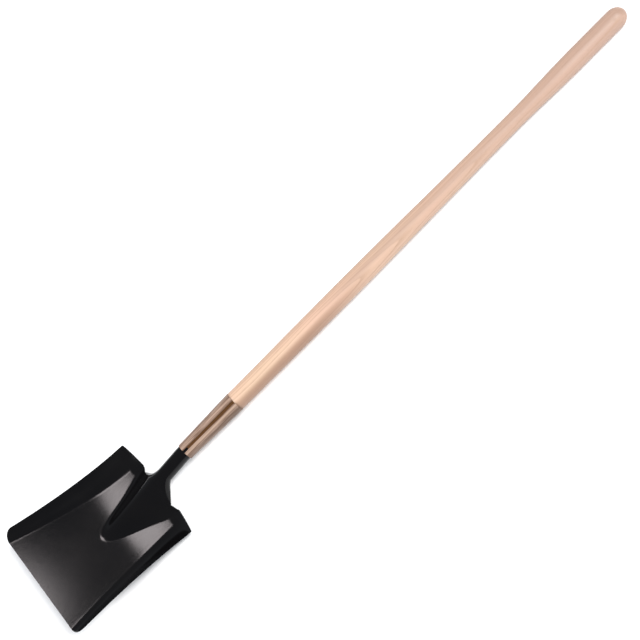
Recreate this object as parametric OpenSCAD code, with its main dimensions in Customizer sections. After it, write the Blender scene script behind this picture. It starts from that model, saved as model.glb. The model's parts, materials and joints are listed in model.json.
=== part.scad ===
// Square-mouth shovel with a long straight ash handle, lying on its back.
//
// Millimetres. X runs along the tool towards the grip, Y across it and Z up. The hollow digging
// face looks up. The heel of the blade and the grip end rest on Z = 0, and the origin is under
// the middle of the tool.

/* [Blade] */
// Length of the blade from its shoulders to its mouth
blade_l = 280; // [240:1:320]
// Width over the side rims where the blade is narrowest
blade_w = 237; // [210:1:260]
// How far each side rim swings outwards from there to the mouth
mouth_flare = 18; // [0:1:24]
// Radius of the two mouth corners, seen from above
corner_r = 22; // [12:1:24]
// Thickness of the steel sheet
sheet_t = 1.8; // [1.4:0.1:2.2]
// Angle between the handle and the plane of the side rims
lift = 9.5; // [6:0.5:13]
// Depth of the pan below the rims' plane at the shoulders
pan_depth = 17; // [14:0.5:20]
// How much deeper the pan's floor lies at the soft bend across it
pan_dish = 8.5; // [5:0.5:10]
// Width of the turned-up wall along each side at the shoulders
wall_w = 48; // [36:1:54]
// Width of the turned-up wall at the mouth
wall_w_mouth = 24; // [18:1:36]

/* [Frog] */
// Length of the raised frog from the shoulders to its rounded tip
frog_l = 142; // [110:1:150]
// Height of the frog above the pan at the shoulders
frog_h = 38; // [34:1:42]
// Half-width of the frog's foot at the shoulders
frog_half_w = 68; // [58:1:72]
// Half-width of the frog's foot close to its tip
frog_tip_half_w = 24; // [18:1:28]

/* [Socket] */
// Outer diameter of the rolled socket
socket_d = 30.4; // [29:0.2:32]
// Length of socket that shows between the ferrule and the flare into the frog
socket_l = 58; // [50:1:64]
// Length of socket hidden in the ferrule
socket_lap = 11; // [9:1:16]
// Angle by which the socket bends back towards the heel
neck_bend = 7; // [4:0.5:9]
// Length of the flare from the socket to the shoulders
flare_l = 29; // [26:1:36]

/* [Ferrule] */
// Length of the ferrule
ferrule_l = 132; // [110:1:150]
// Outer diameter at the blade end
ferrule_d = 33.6; // [33:0.2:36]
// Outer diameter at the handle end
ferrule_top_d = 40.4; // [39.6:0.2:42]
// Thickness of the ferrule's sheet
ferrule_t = 0.8; // [0.6:0.1:1]
// Gap along the ferrule's seam
seam_gap = 6; // [2:0.5:6]
// Angle of the seam round the ferrule from the top, towards -Y
seam_angle = 27; // [0:1:40]

/* [Handle] */
// Length from the ferrule's lower end to the tip of the grip
handle_reach = 1136; // [1000:1:1250]
// Diameter of the straight grip end
grip_d = 39.4; // [37:0.2:42]
// Length of the straight grip end, without its dome
grip_l = 100; // [100:1:140]
// Length of the dome that closes the grip end
dome_l = 24; // [16:1:30]
// Diameter of the slim stretch below the grip
waist_d = 32.8; // [31:0.2:36]
// Diameter of the thickest stretch, near the blade
belly_d = 40.8; // [39.6:0.2:42]
// Diameter of the handle where it leaves the ferrule
root_d = 39.4; // [39:0.2:40]

/* [Nails] */
// Diameter of the nails' shanks
nail_d = 3.8; // [3:0.2:4.4]
// Length of the nails under their heads
nail_l = 24; // [18:1:25]

/* [Hidden] */

$fn = 72;

enamel_black = [0.13, 0.13, 0.13];
bronze = [0.68, 0.54, 0.44];
ash = [0.90, 0.78, 0.68];
zinc = [0.72, 0.73, 0.75];

// Smooth step from 0 to 1
function ease(t) = t * t * (3 - 2 * t);

// The pieces are drawn on the handle's own axis: x = 0 at the ferrule's blade end, x growing
// towards the grip, z towards the digging face. resting() then lays the tool on the ground.

// ---- Rolled socket ----
// Places on it go by s, the distance from the ferrule's blade end towards the blade.
socket_r = socket_d / 2;
bend_l = 14;
seam_half_angle = 4;

function neck_drop(s) =
    tan(neck_bend) * (s <= 0 ? 0 : s < bend_l ? s * s / (2 * bend_l) : s - bend_l / 2);
function neck_slope(s) = atan(tan(neck_bend) * min(1, max(0, s) / bend_l));

// Point of the ring at s. turn runs from -1 to 1 and starts and ends at the seam on the back.
function socket_point(s, turn) =
    let (around = (180 - seam_half_angle) * turn, up = socket_r * cos(around))
    [
        -s - up * sin(neck_slope(s)),
        socket_r * sin(around),
        up * cos(neck_slope(s)) - neck_drop(s)
    ];

// ---- Blade sheet ----
// u runs in the plane of the side rims from the shoulders to the mouth, v across it, w up from
// it. q is u as a share of the blade's length.
shoulder_x = -socket_l - flare_l;
shoulder_z = -15.3;
waist_place = 0.2;
mouth_w = -1;
rim_dip = 1;
rim_swell = 12;
edge_curve = 1.8;

function half_width(q) =
    blade_w / 2 + mouth_flare * pow(abs(q - waist_place) / (1 - waist_place), edge_curve);
function wall_width(q) = wall_w + (wall_w_mouth - wall_w) * q;
function rim_w(q) = rim_swell * pow(q, edge_curve) - rim_dip;

// The pan's floor is flat from the mouth to a soft bend at the frog's tip, and hollow from there to
// the heel
fold_place = 0.44;
fold_softness = 0.14;
function floor_w(q) =
    let (
        heel = 1 - pow(1 - min(1, q / fold_place), 2),
        front = (1 - q) / (1 - fold_place)
    )
    mouth_w - (pan_depth + mouth_w) * (1 - q)
    - pan_dish * (heel + front - norm([heel - front, 2 * fold_softness])) / 2;

// The side walls rise as a parabola from the flat of the pan to the rims
function pan_w(q, v) =
    let (climb = max(0, abs(v) - half_width(q) + wall_width(q)) / wall_width(q))
    floor_w(q) + (rim_w(q) - floor_w(q)) * climb * climb;

// The frog is a raised-cosine ridge that runs out softly all round its nose, and its foot spreads
// to the shoulders
nose_h = 6;
nose_curve = 3.4;
foot_curve = 1.5;
function frog_half(p) =
    frog_tip_half_w + (frog_half_w - frog_tip_half_w) * pow(max(1 - p, 0), foot_curve);
function frog_w(u, v) =
    let (
        p = u / frog_l,
        out = norm([pow(min(max(p, 0), 1), nose_curve), v / frog_half(p)])
    )
    (nose_h + (frog_h - nose_h) * (1 - p)) * (1 + cos(180 * min(out, 1))) / 2;

// Beside the frog the pan sweeps up to straight shoulders, which stand back from a small notch
notch_half = 46;
tread_half = 62;
tread_back = 6;
sweep_l = 26;
shoulder_fall = 10;
function shoulder_w(v) =
    rim_w(0) - shoulder_fall * (half_width(0) - abs(v)) / (half_width(0) - tread_half);
function sweep_w(u, v) =
    let (
        near = max(0, 1 - (u + tread_back) / sweep_l),
        aside = min(1, max(0, (abs(v) - notch_half) / (tread_half - notch_half)))
    )
    (shoulder_w(v) - pan_w(0, v)) * near * near * aside;

function sheet_point(u, v) =
    let (w = pan_w(max(u, 0) / blade_l, v) + max(frog_w(u, v), sweep_w(u, v)))
    [
        shoulder_x - u * cos(lift) + w * sin(lift),
        v,
        shoulder_z + u * sin(lift) + w * cos(lift)
    ];

// ---- Grid over the sheet ----
// Row 0 is the socket's hidden end and the last row is the mouth. Inner columns run through the
// socket, the flare and the frog. Outer columns start at the shoulders.
inner_cols = 10;
outer_cols = 8;
cols = inner_cols + outer_cols;
socket_rows = 7;
flare_rows = 8;
pan_rows = 24;
corner_rows = 5;
shoulder_row = socket_rows + flare_rows;
rows = shoulder_row + pan_rows + corner_rows;
heel_corner = 1.5;

function start_u(j) =
    abs(j) <= inner_cols ? 0
    : abs(j) == cols ? heel_corner
    : -tread_back * (cols - abs(j)) / (outer_cols - 1);
function corner_turn(i) = 90 * max(0, i - shoulder_row - pan_rows) / corner_rows;
function row_u(i, j) =
    let (share = min(1, (i - shoulder_row) / pan_rows))
    start_u(j) * (1 - share) + (blade_l - corner_r) * share + corner_r * sin(corner_turn(i));

// Outer columns spread from the notch to the edge, which curves in round the mouth corners
function spread(k) =
    let (tread = (tread_half - notch_half) / (blade_w / 2 - notch_half))
    tread + (1 - tread) * (k - 1) / (outer_cols - 1);
function edge_v(i) =
    half_width(max(row_u(i, cols), 0) / blade_l) - corner_r * (1 - cos(corner_turn(i)));
function col_v(i, j) =
    abs(j) <= inner_cols ? notch_half * j / inner_cols
    : sign(j) * (notch_half + (edge_v(i) - notch_half) * spread(abs(j) - inner_cols));

// Between socket and shoulders the ring opens at the back and spreads into the frog
function flare_point(i, j) =
    let (
        t = (shoulder_row - i) / flare_rows,
        turn = j / inner_cols,
        frog = sheet_point(-flare_l * t / cos(lift), notch_half * turn),
        ring = socket_point(socket_l + flare_l * (1 - t), turn)
    )
    frog + (ring - frog) * t;

function grid_point(i, j) =
    i >= shoulder_row ? sheet_point(row_u(i, j), col_v(i, j))
    : i > socket_rows ? flare_point(i, j)
    : socket_point(i / socket_rows * (socket_l + socket_lap) - socket_lap, j / inner_cols);

// True where the sheet has a cell between rows i, i + 1 and columns j, j + 1
function has_cell(i, j) =
    i >= 0 && i < rows && j >= -cols && j < cols
    && (i >= shoulder_row || (j >= -inner_cols && j < inner_cols));
function has_point(i, j) =
    has_cell(i, j) || has_cell(i - 1, j) || has_cell(i, j - 1) || has_cell(i - 1, j - 1);

face = [for (i = [0:rows]) [for (j = [-cols:cols]) if (has_point(i, j)) grid_point(i, j)]];
function face_at(i, j) = face[i][j + (i < shoulder_row ? inner_cols : cols)];

// The back is the face set in by the sheet's thickness, along the slope between neighbours
function beside(i, j, di, dj) = has_point(i + di, j + dj) ? face_at(i + di, j + dj) : face_at(i, j);
function back_at(i, j) =
    let (
        along = beside(i, j, 1, 0) - beside(i, j, -1, 0),
        across = beside(i, j, 0, 1) - beside(i, j, 0, -1),
        out = cross(across, along)
    )
    face_at(i, j) - sheet_t * out / norm(out);
back = [for (i = [0:rows]) [for (j = [-cols:cols]) if (has_point(i, j)) back_at(i, j)]];

// ---- Handle ----
// Diameters of the turned shaft, with an eased change from each place to the next
grip_x = handle_reach - dome_l - grip_l;
waist_x = grip_x - 152;
belly_x = ferrule_l + 263;
turnings = [[ferrule_l, root_d], [belly_x, belly_d], [waist_x, waist_d], [grip_x, grip_d]];
steps = 12;
dome_steps = 8;
shaft_outline = [
    for (k = [1:len(turnings) - 1], i = [0:steps - 1])
        let (t = i / steps, from = turnings[k - 1], to = turnings[k])
        [from[1] / 2 + (to[1] - from[1]) / 2 * ease(t), from[0] + (to[0] - from[0]) * t],
    [grip_d / 2, grip_x],
    for (i = [0:dome_steps])
        let (a = 90 * i / dome_steps)
        [grip_d / 2 * cos(a), handle_reach - dome_l + dome_l * sin(a)]
];

// The tenon fills the hidden end of the socket. Past a small step it follows the socket's bend,
// and it stops in the frog.
tenon_play = 0.4;
tenon_r = socket_r - sheet_t - tenon_play;
tenon_step = 0.8;
tenon_end_r = 9.5;
tenon_l = 68;
tenon_chamfer = 2;
tenon_root = 4;

function ferrule_r(x) = (ferrule_d + (ferrule_top_d - ferrule_d) * x / ferrule_l) / 2;

// ---- Nails ----
nail_angle = 140;
nail_places = [socket_lap / 2, ferrule_l - 16];
nail_head_r = 4.2;
nail_head_h = 1.3;
nail_tip_l = 4;
hole_play = 0.05;

// ---- Resting place ----
// The steepest line from the foot of the grip that still passes under the whole blade
grip_end_x = handle_reach - dome_l;
rest_slope = max([for (row = back, p = row) -(grip_d / 2 + p[2]) / (grip_end_x - p[0])]);
rest_tilt = atan(rest_slope);
rest_z = grip_d / 2 * cos(rest_tilt) + grip_end_x * sin(rest_tilt);
mouth_x = min([for (side = [face, back], p = side[rows]) p[0] * cos(rest_tilt) + p[2] * sin(rest_tilt)]);
tip_x = grip_end_x * cos(rest_tilt) + norm([dome_l * cos(rest_tilt), grip_d / 2 * sin(rest_tilt)]);

module resting() {
    translate([-(mouth_x + tip_x) / 2, 0, rest_z]) rotate([0, rest_tilt, 0]) children();
}

// Turns a profile of [radius, x] points round the handle's axis
module turned(profile) {
    rotate([0, 90, 0]) rotate_extrude() polygon(profile);
}

// Puts a nail, or its hole, at each place round the back of the ferrule
module at_nails() {
    for (x = nail_places)
        rotate([-nail_angle, 0, 0]) translate([x, 0, ferrule_r(x)]) children();
}

module nail_holes() {
    at_nails() translate([0, 0, -nail_l - hole_play])
        cylinder(h = nail_l + nail_head_h, d = nail_d + 2 * hole_play, $fn = 32);
}

module sheet() {
    // Every row is listed at full width in both layers, so that an index is a sum
    wide = 2 * cols + 1;
    layer = (rows + 1) * wide;
    points = [
        for (side = [face, back], i = [0:rows], j = [-cols:cols])
            let (skip = i < shoulder_row ? inner_cols : cols)
            has_point(i, j) ? side[i][j + skip] : [shoulder_x, 0, 0]
    ];
    function at(i, j) = i * wide + j + cols;
    cells = [for (i = [0:rows - 1], j = [-cols:cols - 1]) if (has_cell(i, j)) [i, j]];

    // Neighbour of a cell across each side, and that side's two corners
    sides = [
        [[0, -1], [0, 0], [1, 0]], [[0, 1], [1, 1], [0, 1]],
        [[-1, 0], [0, 1], [0, 0]], [[1, 0], [1, 0], [1, 1]]
    ];
    skins = [
        for (c = cells) let (a = at(c[0], c[1]), b = a + wide) each [
            [a, b + 1, a + 1], [a, b, b + 1],
            [layer + a, layer + a + 1, layer + b + 1], [layer + a, layer + b + 1, layer + b]
        ]
    ];
    edges = [
        for (c = cells, s = sides)
            let (beyond = c + s[0], a = at(c[0] + s[1][0], c[1] + s[1][1]),
                 b = at(c[0] + s[2][0], c[1] + s[2][1]))
            if (!has_cell(beyond[0], beyond[1]))
                each [[a, a + layer, b + layer], [a, b + layer, b]]
    ];
    polyhedron(points, concat(skins, edges));
}

module blade() {
    color(enamel_black) resting() difference() {
        sheet();
        nail_holes();
    }
}

module ferrule() {
    open_angle = seam_gap / ferrule_r(ferrule_l / 2) * 180 / PI;
    color(bronze) resting() difference() {
        rotate([0, 90, 0]) rotate([0, 0, 180 + seam_angle + open_angle / 2])
            rotate_extrude(angle = 360 - open_angle)
                polygon([
                    [ferrule_r(0) - ferrule_t, 0], [ferrule_r(0), 0],
                    [ferrule_r(ferrule_l), ferrule_l], [ferrule_r(ferrule_l) - ferrule_t, ferrule_l]
                ]);
        nail_holes();
    }
}

module handle() {
    bend_x = -bend_l / 2;
    color(ash) resting() difference() {
        union() {
            turned(concat(
                [[0, bend_x], [tenon_r, bend_x], [tenon_r, socket_lap],
                 [ferrule_r(socket_lap) - ferrule_t, socket_lap],
                 [ferrule_r(ferrule_l) - ferrule_t, ferrule_l]],
                shaft_outline
            ));
            translate([bend_x, 0, 0]) rotate([0, -neck_bend, 0]) turned([
                [0, -tenon_l], [tenon_end_r - tenon_chamfer, -tenon_l],
                [tenon_end_r, tenon_chamfer - tenon_l], [tenon_r - tenon_step, 0],
                [tenon_r - tenon_step, tenon_root], [0, tenon_root]
            ]);
        }
        nail_holes();
    }
}

module nails() {
    head = [for (i = [0:6]) [nail_head_r * cos(15 * i), nail_head_h * sin(15 * i)]];
    color(zinc) resting() at_nails() rotate_extrude($fn = 32) polygon(concat(
        [[0, -nail_l], [nail_d / 2, nail_tip_l - nail_l], [nail_d / 2, 0]], head
    ));
}

blade();
ferrule();
handle();
nails();
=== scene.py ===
"""Looks of a square-mouth shovel lying on its back: black enamelled blade, bronze-coloured ferrule,
ash handle and two nails. Everything is in metres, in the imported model's frame."""

import json
import math

import bpy
import numpy as np
from mathutils import Matrix, Vector


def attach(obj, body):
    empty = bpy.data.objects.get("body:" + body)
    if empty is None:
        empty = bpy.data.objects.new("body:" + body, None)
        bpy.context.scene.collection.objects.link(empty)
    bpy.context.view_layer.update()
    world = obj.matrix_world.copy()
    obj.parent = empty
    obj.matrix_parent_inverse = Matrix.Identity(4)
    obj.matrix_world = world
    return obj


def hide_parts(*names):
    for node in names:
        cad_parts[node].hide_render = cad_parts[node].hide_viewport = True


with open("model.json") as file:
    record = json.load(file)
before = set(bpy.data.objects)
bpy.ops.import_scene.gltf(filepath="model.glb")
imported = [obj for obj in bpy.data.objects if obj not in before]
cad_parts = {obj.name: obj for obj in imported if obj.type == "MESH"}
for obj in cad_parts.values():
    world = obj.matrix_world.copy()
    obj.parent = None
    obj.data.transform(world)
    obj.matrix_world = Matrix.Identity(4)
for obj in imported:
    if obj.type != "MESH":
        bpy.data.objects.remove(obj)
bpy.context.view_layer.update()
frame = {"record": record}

# ---- The tool's own axes ----
# x runs along the handle from the ferrule's blade end to the grip, z out of the digging face.
# The record's grip mount says where that axis lies. So that the finer skin keeps inside the solid's box,
# the sizes that reach that box (dome_l, sheet_t, blade_w and rim_swell) are a hair under the solid's.
ferrule_l = 0.132
grip_x = 1.012
grip_l = 0.100
dome_l = 0.02399
grip = frame["record"]["mounts"][0]
along = Vector(grip["axis"]).normalized()
across = Vector((0, 1, 0))
start = Vector(grip["pos_m"]) - along * (grip_x + grip_l / 2)
REST = Matrix((along, across, along.cross(across))).transposed().to_4x4()
REST.translation = start


def ease(t):
    """Smooth step from 0 to 1."""
    return t * t * (3 - 2 * t)


# ---- Rolled socket: places on it go by s, the distance from the ferrule's end to the blade ----
socket_r = 0.0152
socket_l = 0.058
socket_lap = 0.011
sheet_t = 0.00155
bend_l = 0.014
neck_bend = math.radians(7)
seam_half_angle = math.radians(4)


def bent(s, side, up):
    """Point at s along the bent axis, at side and up from it."""
    slope = np.arctan(math.tan(neck_bend) * np.clip(s / bend_l, 0, 1))
    inside = np.clip(s, 0, bend_l) ** 2 / (2 * bend_l)
    drop = math.tan(neck_bend) * (inside + np.maximum(s - bend_l, 0))
    return np.stack([-s - up * np.sin(slope), side, up * np.cos(slope) - drop], -1)


def socket_point(s, turn):
    """Point of the socket's ring at s. turn goes from -1 to 1, once round from the seam on the back."""
    around = (math.pi - seam_half_angle) * turn
    return bent(s, socket_r * np.sin(around), socket_r * np.cos(around))


# ---- Blade sheet: u from the shoulders to the mouth, v across, w up from the rims' plane ----
blade_l = 0.280
blade_w = 0.2364
mouth_flare = 0.018
corner_r = 0.022
lift = math.radians(9.5)
pan_depth = 0.017
pan_dish = 0.0085
fold_place = 0.44
fold_softness = 0.14
wall_w = 0.048
wall_w_mouth = 0.024
flare_l = 0.029
shoulder_x = -socket_l - flare_l
shoulder_z = -0.0153
waist_place = 0.2
mouth_w = -0.001
rim_dip = 0.001
rim_swell = 0.01194
edge_curve = 1.8

frog_l = 0.142
frog_h = 0.038
frog_half_w = 0.068
frog_tip_half_w = 0.024
nose_h = 0.006
nose_curve = 3.4
foot_curve = 1.5

notch_half = 0.046
tread_half = 0.062
tread_back = 0.006
sweep_l = 0.026
shoulder_fall = 0.010


def half_width(q):
    return blade_w / 2 + mouth_flare * (np.abs(q - waist_place) / (1 - waist_place)) ** edge_curve


def rim_w(q):
    return rim_swell * q ** edge_curve - rim_dip


def floor_w(q):
    """Height of the pan's floor: flat at the front, then a soft bend and a hollow up to the heel."""
    heel = 1 - (1 - np.minimum(1, q / fold_place)) ** 2
    front = (1 - q) / (1 - fold_place)
    dish = (heel + front - np.hypot(heel - front, 2 * fold_softness)) / 2
    return mouth_w - (pan_depth + mouth_w) * (1 - q) - pan_dish * dish


def wall_width(q):
    return wall_w + (wall_w_mouth - wall_w) * q


def pan_w(q, v):
    """Height of the pan. Its side walls rise as a parabola from the floor to the rims."""
    climb = np.maximum(0, np.abs(v) - half_width(q) + wall_width(q)) / wall_width(q)
    return floor_w(q) + (rim_w(q) - floor_w(q)) * climb ** 2


def frog_w(u, v):
    """Height of the frog over the pan: a raised cosine that runs out softly all round its nose."""
    p = u / frog_l
    half = frog_tip_half_w + (frog_half_w - frog_tip_half_w) * np.maximum(1 - p, 0) ** foot_curve
    out = np.hypot(np.clip(p, 0, 1) ** nose_curve, v / half)
    rise = nose_h + (frog_h - nose_h) * (1 - p)
    return rise * (1 + np.cos(math.pi * np.minimum(out, 1))) / 2


def sweep_w(u, v):
    """Height of the pan's sweep up to the straight shoulders beside the frog."""
    fall = shoulder_fall * (half_width(0) - np.abs(v)) / (half_width(0) - tread_half)
    near = np.maximum(0, 1 - (u + tread_back) / sweep_l)
    aside = np.clip((np.abs(v) - notch_half) / (tread_half - notch_half), 0, 1)
    return (rim_w(0) - fall - pan_w(0, v)) * near ** 2 * aside


def sheet_point(u, v):
    """Point on the digging face."""
    w = pan_w(np.maximum(u, 0) / blade_l, v) + np.maximum(frog_w(u, v), sweep_w(u, v))
    return np.stack([
        shoulder_x - u * math.cos(lift) + w * math.sin(lift),
        v + 0 * w,
        shoulder_z + u * math.sin(lift) + w * math.cos(lift),
    ], -1)


# ---- Grid over the sheet: row 0 is the socket's hidden end, the last row is the mouth ----
inner_cols = 40
notch_cols = 8
floor_cols = 10
wall_cols = 24
cols = inner_cols + notch_cols + floor_cols + wall_cols
socket_rows = 28
flare_rows = 32
pan_rows = 110
corner_rows = 18
shoulder_row = socket_rows + flare_rows
rows = shoulder_row + pan_rows + corner_rows
# How far the outermost column starts past the shoulders' line
heel_corner = 0.0015
# Keeps unused grid points, which have no normal, from dividing by nothing
no_length = 1e-12


def column_v(beside, q, edge_v):
    """How far from the middle the columns lie. They fan out from the notch to the edge, and one of
    them follows the foot of the wall."""
    tread = (tread_half - notch_half) / (blade_w / 2 - notch_half)
    tread_v = notch_half + tread * (edge_v - notch_half)
    foot_v = half_width(q) - wall_width(q)
    zones = (inner_cols, notch_half), (notch_cols, tread_v), (floor_cols, foot_v), (wall_cols, edge_v)
    v = 0
    first = 0
    first_v = 0
    for count, last_v in zones:
        v = v + (last_v - first_v) * np.clip((beside - first) / count, 0, 1)
        first += count
        first_v = last_v
    return v


def grid_points():
    """Points of the digging face, by row and column, and which cells of the grid are sheet."""
    i, j = np.meshgrid(np.arange(rows + 1), np.arange(-cols, cols + 1), indexing="ij")
    beside = np.abs(j)
    shoulder_v = column_v(beside, 0, blade_w / 2)
    start_u = np.interp(shoulder_v, [notch_half, tread_half, blade_w / 2], [0, -tread_back, 0])
    start_u = np.where(beside == cols, heel_corner, start_u)
    share = np.clip((i - shoulder_row) / pan_rows, 0, 1)
    turn = math.pi / 2 * np.clip(i - shoulder_row - pan_rows, 0, None) / corner_rows
    u = start_u * (1 - share) + (blade_l - corner_r) * share + corner_r * np.sin(turn)

    # The edge curves in round the mouth corners
    edge_q = np.maximum(u[:, -1:], 0) / blade_l
    edge_v = half_width(edge_q) - corner_r * (1 - np.cos(turn[:, -1:]))
    v = np.sign(j) * column_v(beside, edge_q, edge_v)
    points = sheet_point(u, v)

    # Between socket and shoulders the ring opens at the back and spreads into the frog
    side = j / inner_cols
    part = (shoulder_row - i) / flare_rows
    frog = sheet_point(-flare_l * part / math.cos(lift), notch_half * side)
    ring = socket_point(socket_l + flare_l * (1 - part), side)
    flare = frog + (ring - frog) * part[..., None]
    tube = socket_point(i / socket_rows * (socket_l + socket_lap) - socket_lap, side)
    points = np.where(((i > socket_rows) & (i < shoulder_row))[..., None], flare, points)
    points = np.where((i <= socket_rows)[..., None], tube, points)
    cells = (i >= shoulder_row) | ((j >= -inner_cols) & (j < inner_cols))
    return points, cells[:-1, :-1]


def corner_flags(cells):
    """Which grid points belong to a cell."""
    flags = np.zeros((rows + 1, 2 * cols + 1), bool)
    for di in (0, 1):
        for dj in (0, 1):
            flags[di:di + rows, dj:dj + 2 * cols] |= cells
    return flags


def neighbour(points, flags, di, dj):
    """Each point's neighbour, or the point itself where the sheet ends."""
    shifted = np.roll(points, (-di, -dj), (0, 1))
    exists = np.roll(flags, (-di, -dj), (0, 1)) & flags
    edge = {(1, 0): (-1, slice(None)), (-1, 0): (0, slice(None)),
            (0, 1): (slice(None), -1), (0, -1): (slice(None), 0)}[di, dj]
    exists[edge] = False
    return np.where(exists[..., None], shifted, points)


def sheet_mesh(points, cells):
    """Closed sheet of the right thickness behind the face points: (points, quads)."""
    flags = corner_flags(cells)
    down = neighbour(points, flags, 1, 0) - neighbour(points, flags, -1, 0)
    over = neighbour(points, flags, 0, 1) - neighbour(points, flags, 0, -1)
    out = np.cross(over, down)
    out /= np.maximum(np.linalg.norm(out, axis=-1, keepdims=True), no_length)
    back = points - sheet_t * out
    index = np.cumsum(flags.ravel()).reshape(flags.shape) - 1
    layer = int(flags.sum())

    quads = []
    for i, j in zip(*np.nonzero(cells)):
        corners = index[i, j], index[i + 1, j], index[i + 1, j + 1], index[i, j + 1]
        a, b, c, d = (int(k) for k in corners)
        quads.append((a, b, c, d))
        quads.append((a + layer, d + layer, c + layer, b + layer))
        sides = {(0, -1): (a, b), (1, 0): (b, c), (0, 1): (c, d), (-1, 0): (d, a)}
        for (di, dj), (first, last) in sides.items():
            ni, nj = i + di, j + dj
            inside = 0 <= ni < rows and 0 <= nj < 2 * cols and cells[ni, nj]
            if not inside:
                quads.append((last, first, first + layer, last + layer))
    return np.concatenate([points[flags], back[flags]]), quads


# ---- Turned shapes ----
def turned(profile, sides):
    """Closed solid that the profile of (x, radius) points makes round the x axis: (points, faces).
    The profile starts and ends on the axis."""
    inner = profile[1:-1]
    angles = 2 * math.pi * np.arange(sides) / sides
    ring = np.stack([0 * angles, np.sin(angles), np.cos(angles)], -1)
    points = [[profile[0][0], 0, 0]]
    for x, r in inner:
        points.extend(ring * r + [x, 0, 0])
    points.append([profile[-1][0], 0, 0])
    last = len(points) - 1
    faces = []
    for k in range(sides):
        after = (k + 1) % sides
        faces.append((0, 1 + after, 1 + k))
        for n in range(len(inner) - 1):
            a, b = 1 + n * sides, 1 + (n + 1) * sides
            faces.append((a + k, a + after, b + after, b + k))
        end = 1 + (len(inner) - 1) * sides
        faces.append((end + k, end + after, last))
    return np.array(points), faces


# Edges that turn by more than this are rounded
sharp_angle = math.radians(50)


def piece(name, points, faces, rounding=0.0, segments=3):
    """Object from points in the tool's axes, laid down as the CAD is, with its sharp edges rounded."""
    mesh = bpy.data.meshes.new(name)
    mesh.from_pydata([REST @ Vector(p) for p in points], [], faces)
    mesh.validate()
    mesh.shade_smooth()
    obj = bpy.data.objects.new(name, mesh)
    bpy.context.scene.collection.objects.link(obj)
    if rounding:
        bevel = obj.modifiers.new("rounded_edges", "BEVEL")
        bevel.width = rounding
        bevel.segments = segments
        bevel.limit_method = "ANGLE"
        bevel.angle_limit = sharp_angle
        bevel.harden_normals = True
    return obj


def make_blade():
    """The pressed sheet, from the socket's hidden end to the mouth."""
    points, faces = sheet_mesh(*grid_points())
    return piece("pressed_blade", points, faces, rounding=0.00055)


# ---- Handle ----
grip_r = 0.0197
waist_r = 0.0164
belly_r = 0.0204
root_r = 0.0197
waist_x = grip_x - 0.152
belly_x = ferrule_l + 0.263
tenon_r = socket_r - sheet_t - 0.0004
tenon_end_r = 0.0095
tenon_l = 0.075
tenon_round = 0.002
tenon_taper_l = 0.068
tenon_rings = 18
turning_steps = 40
dome_steps = 24
handle_sides = 96

ferrule_r0 = 0.0168
ferrule_r1 = 0.0202
ferrule_t = 0.0008


def ferrule_r(x):
    return ferrule_r0 + (ferrule_r1 - ferrule_r0) * x / ferrule_l


def handle_profile():
    """Outline of the handle from the tenon's end to the tip of the dome."""
    profile = [(-tenon_l, 0), (-tenon_l, tenon_end_r - tenon_round)]
    profile.append((-tenon_l + tenon_round, tenon_end_r))
    for x in np.linspace(-tenon_taper_l, 0, tenon_rings):
        profile.append((x, tenon_r - (tenon_end_r - tenon_r) * x / tenon_l))
    profile += [(socket_lap, tenon_r), (socket_lap, ferrule_r(socket_lap) - ferrule_t)]
    profile.append((ferrule_l, ferrule_r(ferrule_l) - ferrule_t))

    turnings = [(ferrule_l, root_r), (belly_x, belly_r), (waist_x, waist_r), (grip_x, grip_r)]
    for (x0, r0), (x1, r1) in zip(turnings, turnings[1:]):
        for t in np.arange(turning_steps) / turning_steps:
            profile.append((x0 + (x1 - x0) * t, r0 + (r1 - r0) * ease(t)))
    profile.append((grip_x, grip_r))

    for a in math.pi / 2 * np.arange(dome_steps) / dome_steps:
        profile.append((grip_x + grip_l + dome_l * math.sin(a), grip_r * math.cos(a)))
    return profile + [(grip_x + grip_l + dome_l, 0)]


def make_handle():
    """The turned pole. Its tenon follows the socket's bend."""
    points, faces = turned(handle_profile(), handle_sides)
    hidden = points[:, 0] < 0
    points[hidden] = bent(-points[hidden, 0], points[hidden, 1], points[hidden, 2])
    return piece("ash_handle", points, faces)


# ---- Ferrule ----
seam_gap = 0.006
seam_angle = math.radians(27)
ferrule_turns = 120
ferrule_lengths = 24


def make_ferrule():
    """Rolled sleeve whose two long edges stop short of each other along the seam."""
    opening = seam_gap / ferrule_r(ferrule_l / 2)
    share = np.arange(ferrule_turns + 1) / ferrule_turns
    angles = -seam_angle + opening / 2 + (2 * math.pi - opening) * share
    places = ferrule_l * np.arange(ferrule_lengths + 1) / ferrule_lengths
    points = []
    for inset in (0, ferrule_t):
        for x in places:
            r = ferrule_r(x) - inset
            points += [(x, r * math.sin(a), r * math.cos(a)) for a in angles]
    wide = ferrule_turns + 1
    layer = wide * len(places)
    faces = []
    for n in range(ferrule_lengths):
        for k in range(ferrule_turns):
            a = n * wide + k
            faces.append((a, a + 1, a + wide + 1, a + wide))
            faces.append((a + layer, a + wide + layer, a + wide + 1 + layer, a + 1 + layer))
        start = n * wide
        end = start + ferrule_turns
        for a, b in ((start + wide, start), (end, end + wide)):
            faces.append((a, b, b + layer, a + layer))
    last = ferrule_lengths * wide
    for k in range(ferrule_turns):
        for a, b in ((k, k + 1), (last + k + 1, last + k)):
            faces.append((b, a, a + layer, b + layer))
    return piece("rolled_ferrule", points, faces, rounding=0.0003, segments=2)


# ---- Nails ----
nail_angle = math.radians(140)
nail_places = (socket_lap / 2, ferrule_l - 0.016)
nail_r = 0.0019
nail_l = 0.024
nail_head_r = 0.0042
nail_head_h = 0.0013
nail_tip_l = 0.004
nail_head_steps = 8
nail_sides = 40


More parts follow.
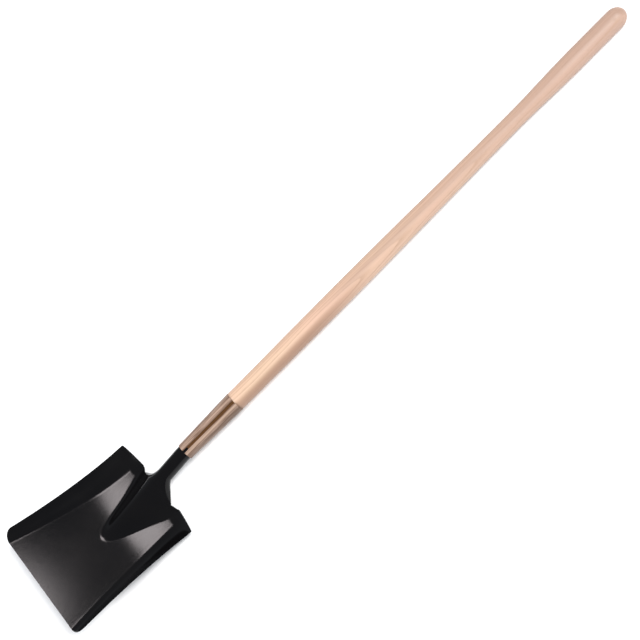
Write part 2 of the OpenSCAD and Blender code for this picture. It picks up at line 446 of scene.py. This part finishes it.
def make_nails():
    """Two round-head nails, as one piece of two solids."""
    profile = [(-nail_l, 0), (nail_tip_l - nail_l, nail_r), (0, nail_r)]
    for a in math.pi / 2 * np.arange(nail_head_steps) / nail_head_steps:
        profile.append((nail_head_h * math.sin(a), nail_head_r * math.cos(a)))
    profile.append((nail_head_h, 0))
    shape, shape_faces = turned(profile, nail_sides)

    # The nail's own axis points straight out of the ferrule
    out = np.array([0, math.sin(nail_angle), math.cos(nail_angle)])
    side = np.array([0, math.cos(nail_angle), -math.sin(nail_angle)])
    ahead = np.array([1, 0, 0])
    points = []
    faces = []
    for x in nail_places:
        first = len(points)
        for p in shape:
            points.append(ahead * (x + p[2]) + out * (ferrule_r(x) + p[0]) + side * p[1])
        faces += [tuple(first + k for k in face) for face in shape_faces]
    return piece("ferrule_nails", points, faces)


# ---- Material helpers ----
class Nodes:
    """Short calls for building one material's nodes."""

    def __init__(self, name, obj):
        material = bpy.data.materials.new(name)
        material.use_nodes = True
        self.tree = material.node_tree
        self.shader = self.tree.nodes["Principled BSDF"]
        self.place = self.add("ShaderNodeTexCoord").outputs["Object"]
        obj.data.materials.clear()
        obj.data.materials.append(material)

    def add(self, kind, **settings):
        node = self.tree.nodes.new(kind)
        for key, value in settings.items():
            setattr(node, key, value)
        return node

    def link(self, source, socket):
        if isinstance(source, bpy.types.NodeSocket):
            self.tree.links.new(source, socket)
        else:
            socket.default_value = source

    def set(self, name, value):
        """Gives the material's own shader a uniform value or the output of a node."""
        self.link(value, self.shader.inputs[name])

    def math(self, operation, a, b=0.0):
        node = self.add("ShaderNodeMath", operation=operation)
        self.link(a, node.inputs[0])
        self.link(b, node.inputs[1])
        return node.outputs[0]

    def times(self, first, *others):
        product = first
        for factor in others:
            product = self.math("MULTIPLY", product, factor)
        return product

    def stretched(self, scale):
        node = self.add("ShaderNodeMapping")
        self.link(self.place, node.inputs["Vector"])
        node.inputs["Scale"].default_value = scale
        return node.outputs[0]

    def noise(self, vector, scale, detail, roughness=0.5):
        node = self.add("ShaderNodeTexNoise")
        self.link(vector, node.inputs["Vector"])
        node.inputs["Scale"].default_value = scale
        node.inputs["Detail"].default_value = detail
        node.inputs["Roughness"].default_value = roughness
        return node.outputs["Fac"]

    def range(self, value, low, high, to_low=0.0, to_high=1.0, smooth=False):
        node = self.add("ShaderNodeMapRange")
        node.interpolation_type = "SMOOTHSTEP" if smooth else "LINEAR"
        self.link(value, node.inputs["Value"])
        node.inputs["From Min"].default_value = low
        node.inputs["From Max"].default_value = high
        node.inputs["To Min"].default_value = to_low
        node.inputs["To Max"].default_value = to_high
        return node.outputs[0]

    def stripe(self, value, middle, core, reach, strength=1.0):
        """Full strength up to core away from the middle, fading out smoothly at reach."""
        away = self.math("ABSOLUTE", self.math("SUBTRACT", value, middle))
        return self.range(away, core, reach, strength, 0, smooth=True)

    def mix(self, share, a, b):
        node = self.add("ShaderNodeMix", data_type="RGBA")
        self.link(share, node.inputs["Factor"])
        self.link(a, node.inputs["A"])
        self.link(b, node.inputs["B"])
        return node.outputs["Result"]

    def bump(self, height, distance, strength=1.0, under=None):
        node = self.add("ShaderNodeBump")
        self.link(height, node.inputs["Height"])
        node.inputs["Distance"].default_value = distance
        node.inputs["Strength"].default_value = strength
        if under is not None:
            self.link(under, node.inputs["Normal"])
        return node.outputs[0]

    def axes(self):
        node = self.add("ShaderNodeSeparateXYZ")
        self.link(self.place, node.inputs[0])
        return node.outputs


def rgb(r, g, b):
    return (r, g, b, 1.0)


# ---- Materials ----
# Where the ferrule starts and ends along the ground
ferrule_start = REST.translation.x
ferrule_end = (REST @ Vector((ferrule_l, 0, 0))).x


def enamel(obj):
    """Semi-gloss black enamel: fine orange peel, slow changes of gloss and faint pressing marks."""
    cool = rgb(0.0015, 0.0015, 0.002)
    warm = rgb(0.004, 0.0035, 0.0035)
    m = Nodes("black_enamel", obj)
    cloud = m.noise(m.place, 14, detail=4)
    peel = m.noise(m.place, 420, detail=2)
    drawn = m.noise(m.stretched((6, 60, 60)), 6, detail=5, roughness=0.6)
    m.set("Base Color", m.mix(cloud, cool, warm))
    m.set("Roughness", m.range(m.math("ADD", cloud, drawn), 0.6, 1.4, 0.10, 0.14))
    m.set("IOR", 1.28)
    relief = m.bump(drawn, 0.0002, 0.12)
    m.set("Normal", m.bump(peel, 0.00005, 0.2, under=relief))


def bronze(obj):
    """Bronze-coloured lacquer on rolled steel: lengthwise streaks, a painted highlight on one side of
    the seam, and painted shade on the other side and on the flank that turns down to the ground."""
    dark = rgb(0.13, 0.072, 0.044)
    bright = rgb(0.43, 0.30, 0.23)
    scratched = rgb(0.20, 0.12, 0.08)
    painted_highlight = rgb(0.47, 0.33, 0.245)
    painted_seam_shade = rgb(0.12, 0.06, 0.03)
    painted_flank_shade = rgb(0.09, 0.05, 0.03)
    # Places round the ferrule of the painted highlight and the painted seam shade, as the sine of their
    # angle from the top. The seam lies between the two.
    highlight_place = -0.74
    seam_shade_place = -0.27

    m = Nodes("bronze_lacquer", obj)
    streaks = m.noise(m.stretched((3, 70, 70)), 5, detail=4, roughness=0.6)
    fine = m.noise(m.stretched((6, 400, 400)), 5, detail=3)
    colour = m.mix(m.range(streaks, 0.40, 0.60), dark, bright)
    colour = m.mix(m.range(fine, 0.3, 0.7, 0, 0.35), colour, scratched)
    x, y = m.axes()[:2]
    radius = m.range(x, ferrule_start, ferrule_end, ferrule_r0, ferrule_r1)
    around = m.math("DIVIDE", y, radius)
    # Painted highlight on the -Y side of the seam, and painted shade on its upper side
    colour = m.mix(m.stripe(around, highlight_place, 0.02, 0.12, 0.7), colour, painted_highlight)
    colour = m.mix(m.stripe(around, seam_shade_place, 0.02, 0.14, 0.7), colour, painted_seam_shade)
    # Painted shade: the flank that turns down to the ground is the darkest
    colour = m.mix(m.range(around, -0.82, -0.97, 0, 0.7), colour, painted_flank_shade)
    m.set("Base Color", colour)
    m.set("Metallic", 0.25)
    m.set("Roughness", m.range(streaks, 0.3, 0.7, 0.55, 0.40))
    m.set("Normal", m.bump(streaks, 0.0001, 0.35))


def growth_rings(m, x, y, z, wander):
    """Early wood of each ring, from 0 to 1. The tree's own centre lies off to one side and slightly
    aslant, so the rings run out in arches."""
    rings_per_metre = 240
    centre_y = -0.055
    centre_z = 0.085
    slant_y = m.math("ADD", y, m.times(x, 0.016))
    slant_z = m.math("ADD", z, m.times(x, 0.006))
    off_centre = m.add("ShaderNodeCombineXYZ")
    m.link(m.math("SUBTRACT", slant_y, centre_y), off_centre.inputs[1])
    m.link(m.math("SUBTRACT", slant_z, centre_z), off_centre.inputs[2])
    radius = m.add("ShaderNodeVectorMath", operation="LENGTH")
    m.link(off_centre.outputs[0], radius.inputs[0])
    rings = m.math("ADD", m.times(radius.outputs["Value"], rings_per_metre), m.times(wander, 5.5))
    phase = m.math("FRACT", rings)
    fade = m.math("SUBTRACT", 1.0, m.range(phase, 0.0, 0.55, smooth=True))
    return m.times(fade, m.range(phase, 0.0, 0.06))


def ash_wood(obj):
    """Turned ash: growth rings cut lengthwise, pores, a darker brown band low on the -Y side, a fainter
    brown streak along the top, and painted shade towards the grip.
    """
    pinkish = rgb(0.60, 0.385, 0.275)
    yellowish = rgb(0.58, 0.41, 0.28)
    grip_painted_shade = rgb(0.40, 0.262, 0.202)
    early_wood = rgb(0.37, 0.235, 0.16)
    fibre = rgb(0.42, 0.275, 0.20)
    pore = rgb(0.20, 0.12, 0.07)
    low_side_brown = rgb(0.24, 0.135, 0.085)
    faint_heart = rgb(0.29, 0.185, 0.135)
    seam_shade_and_discolour = rgb(0.10, 0.042, 0.012)
    inside_ferrule_fade = 0.0005

    m = Nodes("ash", obj)
    x, y, z = m.axes()
    wander = m.noise(m.stretched((1.2, 9, 9)), 1.6, detail=2)
    early = growth_rings(m, x, y, z, wander)
    fibres = m.noise(m.stretched((5, 260, 260)), 4, detail=4, roughness=0.6)
    pores = m.range(m.noise(m.stretched((14, 620, 620)), 3, detail=2), 0.58, 0.70)
    tone = m.noise(m.stretched((1, 6, 6)), 5, detail=2)

    colour = m.mix(m.range(tone, 0.3, 0.7), pinkish, yellowish)
    # Painted shade: the wood darkens gradually towards the grip
    colour = m.mix(m.range(x, -0.25, 0.7), colour, grip_painted_shade)
    colour = m.mix(m.times(early, 0.6), colour, early_wood)
    colour = m.mix(m.range(fibres, 0.3, 0.75, 0, 0.30), colour, fibre)
    colour = m.mix(m.times(pores, early, 0.55), colour, pore)

    # A darker brown band on the -Y side fades out halfway up the handle, and a fainter brown streak runs
    # along the top from there to the grip
    wavy_x = m.math("ADD", x, m.times(wander, 0.25))
    side = m.range(m.times(y, -1), 0.008, 0.019, smooth=True)
    lower = m.range(wavy_x, 0.02, 0.25, 1, 0, smooth=True)
    colour = m.mix(m.times(side, lower, 0.8), colour, low_side_brown)
    top = m.stripe(y, -0.006, 0.001, 0.009)
    upper = m.range(wavy_x, 0.02, 0.20, smooth=True)
    colour = m.mix(m.times(top, upper, 0.5), colour, faint_heart)

    # Inside the ferrule the wood is painted dark brown: partly discoloured by the ferrule, partly
    # painted shade in the narrow gap. It shows along the open seam
    inside_ferrule = m.range(x, ferrule_end - inside_ferrule_fade, ferrule_end + inside_ferrule_fade, 1, 0)
    m.set("Base Color", m.mix(inside_ferrule, colour, seam_shade_and_discolour))
    m.set("Specular IOR Level", m.range(inside_ferrule, 0, 1, 0.5, 0.1))
    m.set("Roughness", m.range(fibres, 0.3, 0.7, 0.42, 0.56))
    grain = m.bump(m.math("SUBTRACT", 1.0, pores), 0.00008, 0.5)
    m.set("Normal", m.bump(fibres, 0.00006, 0.4, under=grain))


def zinc(obj):
    """Dull zinc plating."""
    dark = rgb(0.45, 0.46, 0.48)
    light = rgb(0.68, 0.68, 0.69)
    m = Nodes("zinc_plating", obj)
    spangle = m.noise(m.place, 900, detail=3)
    m.set("Base Color", m.mix(spangle, dark, light))
    m.set("Metallic", 1.0)
    m.set("Roughness", m.range(spangle, 0.3, 0.7, 0.32, 0.48))
    m.set("Normal", m.bump(spangle, 0.00005, 0.4))


# ---- The shovel ----
made = (
    (make_blade, enamel, "blade", "enamel"),
    (make_ferrule, bronze, "ferrule", "bronze"),
    (make_handle, ash_wood, "handle", "ash"),
    (make_nails, zinc, "nails", "zinc"),
)
for make, finish, node, slot in made:
    obj = make()
    finish(obj)
    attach(obj, "root")
    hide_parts(node)


# ---- Floor, light and camera ----
def aim(obj, target, roll=0.0):
    """Points the object's -Z at the target and turns it about that line."""
    look = (Vector(target) - obj.location).to_track_quat("-Z", "Y")
    obj.rotation_mode = "QUATERNION"
    obj.rotation_quaternion = look @ Matrix.Rotation(roll, 4, "Z").to_quaternion()


def from_target(target, azimuth, elevation, distance):
    """Place at a distance from the target. Azimuth 0 is on the -Y side and 90 on the +X side."""
    a, e = math.radians(azimuth), math.radians(elevation)
    way = Vector((math.sin(a) * math.cos(e), -math.cos(a) * math.cos(e), math.sin(e)))
    return Vector(target) + way * distance


def add_floor():
    """Wide, pale, matt floor."""
    half = 25.0
    corners = [(-half, -half, 0), (half, -half, 0), (half, half, 0), (-half, half, 0)]
    mesh = bpy.data.meshes.new("floor")
    mesh.from_pydata(corners, [], [(0, 1, 2, 3)])
    floor = bpy.data.objects.new("floor", mesh)
    bpy.context.scene.collection.objects.link(floor)
    m = Nodes("pale_floor", floor)
    m.set("Base Color", rgb(0.93, 0.93, 0.93))
    m.set("Roughness", 0.9)
    m.set("Specular IOR Level", 0.0)


def add_softbox(name, target, azimuth, elevation, distance, size, power, colour=(1, 1, 1)):
    """Round area light that looks at the target."""
    light = bpy.data.lights.new(name, "AREA")
    light.shape = "DISK"
    light.size = size
    light.energy = power
    light.color = colour
    lamp = bpy.data.objects.new(name, light)
    bpy.context.scene.collection.objects.link(lamp)
    lamp.location = from_target(target, azimuth, elevation, distance)
    aim(lamp, target)


def add_lights():
    """A small pinkish light that mirrors in the hollows beside the frog, a large main one from the
    grip's side and a low one that fills in from the mouth's side."""
    pan_middle = (-0.56, 0, 0.012)
    pinkish_white = (1.0, 0.92, 0.93)
    add_softbox("trough_light", pan_middle, azimuth=169.9, elevation=59, distance=3.0, size=0.42,
                power=8.9, colour=pinkish_white)
    add_softbox("key_light", (0, 0, 0), azimuth=48, elevation=54, distance=8.0, size=4.6, power=900)
    add_softbox("fill_light", (-0.5, 0, 0), azimuth=262, elevation=30, distance=4.0, size=2.0, power=130)


def add_world():
    """Even, slightly cool light from all round."""
    world = bpy.data.worlds.new("studio")
    world.use_nodes = True
    background = world.node_tree.nodes["Background"]
    background.inputs["Color"].default_value = rgb(0.86, 0.92, 1.0)
    background.inputs["Strength"].default_value = 0.36
    bpy.context.scene.world = world


def add_camera():
    """Long lens from above, with the tool lying from lower left to upper right."""
    target = (-0.0378, -0.0015, 0.020)
    camera = bpy.data.objects.new("camera", bpy.data.cameras.new("camera"))
    bpy.context.scene.collection.objects.link(camera)
    camera.data.lens = 112.5
    camera.data.clip_end = 50
    camera.location = from_target(target, azimuth=8.41, elevation=57.75, distance=3.673)
    aim(camera, target, roll=math.radians(-52.62))
    bpy.context.scene.camera = camera


add_floor()
add_world()
add_lights()
add_camera()
bpy.context.scene.view_settings.view_transform = "Standard"
